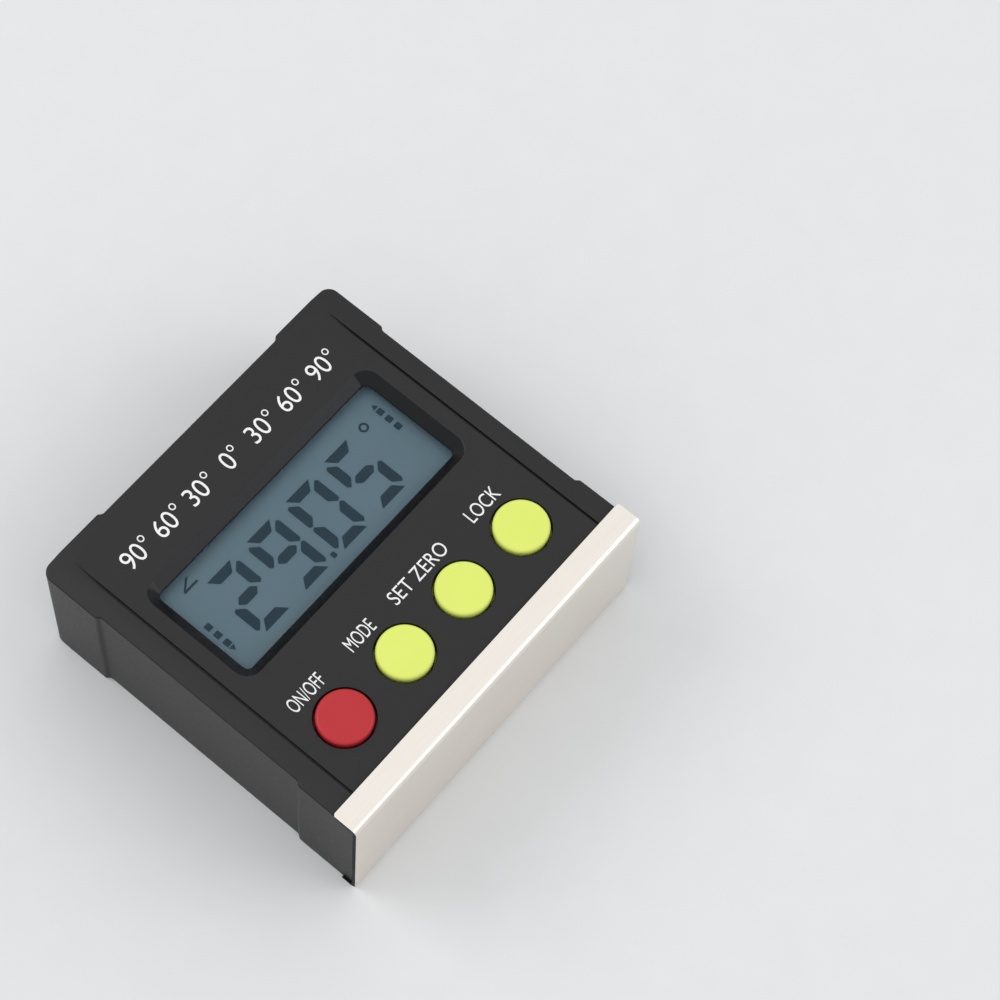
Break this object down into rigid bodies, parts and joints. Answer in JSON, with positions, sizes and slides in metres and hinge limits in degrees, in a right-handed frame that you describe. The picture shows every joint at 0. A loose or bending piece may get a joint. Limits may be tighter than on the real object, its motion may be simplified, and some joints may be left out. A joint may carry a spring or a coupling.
{
  "type": "digital angle gauge",
  "caption": "Square digital angle gauge with a recessed display, a row of round keys and a folded steel magnetic base that is set against the work.",
  "frame": {"origin": "middle of the footprint, on the plane of the rear rim that the gauge lies on", "axes": "+X along the measuring base, +Y up the display face away from the base, +Z out of the display face"},
  "size_m": [0.055, 0.0524, 0.0221],
  "materials": {
    "housing_plastic": "moulded, fine texture",
    "base_steel": "satin",
    "window_acrylic": "clear",
    "display_glass": "polariser film on glass",
    "inner_plastic": "moulded",
    "strip_rubber": "matt",
    "board_laminate": "solder mask",
    "chip_resin": "moulded",
    "contact_steel": "nickel plated",
    "capacitor_body": "fired",
    "red_key": "satin",
    "green_key": "satin",
    "plunger_plastic": "moulded",
    "battery_can": "printed sleeve",
    "magnet_plating": "nickel plated",
    "screw_steel": "zinc plated"
  },
  "bodies": {
    "housing": {"front_housing": "housing_plastic", "rear_cover": "housing_plastic", "base_channel": "base_steel", "display_window": "window_acrylic", "lcd_panel": "display_glass", "display_frame": "inner_plastic", "upper_contact_strip": "strip_rubber", "lower_contact_strip": "strip_rubber", "main_board": "board_laminate", "controller_chip": "chip_resin", "tilt_sensor": "chip_resin", "timing_crystal": "contact_steel", "board_capacitors": "capacitor_body", "power_switch": "inner_plastic", "unit_switch": "inner_plastic", "calibrate_switch": "inner_plastic", "hold_switch": "inner_plastic", "upper_battery": "battery_can", "lower_battery": "battery_can", "bridge_contact": "contact_steel", "positive_contact": "contact_steel", "negative_contact": "contact_steel", "bridge_spring": "contact_steel", "negative_spring": "contact_steel", "left_magnet": "magnet_plating", "right_magnet": "magnet_plating", "cover_screws": "screw_steel", "board_screws": "screw_steel"},
    "power_key": {"power_button": "red_key", "power_plunger": "plunger_plastic"},
    "unit_key": {"unit_button": "green_key", "unit_plunger": "plunger_plastic"},
    "calibrate_key": {"calibrate_button": "green_key", "calibrate_plunger": "plunger_plastic"},
    "hold_key": {"hold_button": "green_key", "hold_plunger": "plunger_plastic"},
    "door": {"battery_door": "housing_plastic"}
  },
  "joints": [
    {"name": "power_press", "type": "slide", "parent": "housing", "child": "power_key", "axis": [0, 0, -1], "range_m": [0, 0.0005], "stiffness_N_per_m": 500, "springref_m": -0.0005},
    {"name": "unit_press", "type": "slide", "parent": "housing", "child": "unit_key", "axis": [0, 0, -1], "range_m": [0, 0.0005], "stiffness_N_per_m": 500, "springref_m": -0.0005},
    {"name": "calibrate_press", "type": "slide", "parent": "housing", "child": "calibrate_key", "axis": [0, 0, -1], "range_m": [0, 0.0005], "stiffness_N_per_m": 500, "springref_m": -0.0005},
    {"name": "hold_press", "type": "slide", "parent": "housing", "child": "hold_key", "axis": [0, 0, -1], "range_m": [0, 0.0005], "stiffness_N_per_m": 500, "springref_m": -0.0005},
    {"name": "door_swing", "type": "hinge", "parent": "housing", "child": "door", "pos_m": [0, 0.01593, 0.00035], "axis": [1, 0, 0], "range_deg": [0, 95]}
  ]
}
